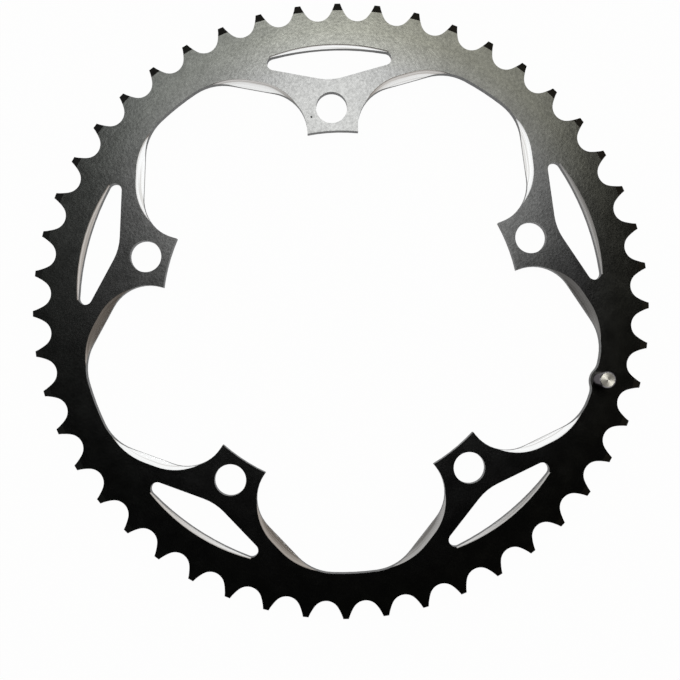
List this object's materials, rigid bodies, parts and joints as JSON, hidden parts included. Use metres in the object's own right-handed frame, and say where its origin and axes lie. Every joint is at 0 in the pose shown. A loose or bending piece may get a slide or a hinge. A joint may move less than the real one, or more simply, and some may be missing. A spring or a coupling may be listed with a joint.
{
  "type": "bicycle chainring",
  "caption": "Flat toothed chainring with bolting tabs on V struts, milled windows, bright bevels and an upright steel chain drop pin.",
  "frame": {"origin": "centre of the bolt circle on the rear face, where the crank spider seats", "axes": "+Z along the ring's axis, out of the front face; +Y through one bolting tab"},
  "size_m": [0.1974, 0.1974, 0.0135],
  "materials": {
    "anodised_aluminium": "bead-blasted and black anodised, with bevels milled bright afterwards",
    "pin_steel": "turned bright"
  },
  "bodies": {
    "root": {"chainring": "anodised_aluminium", "chain_drop_pin": "pin_steel"}
  },
  "joints": []
}
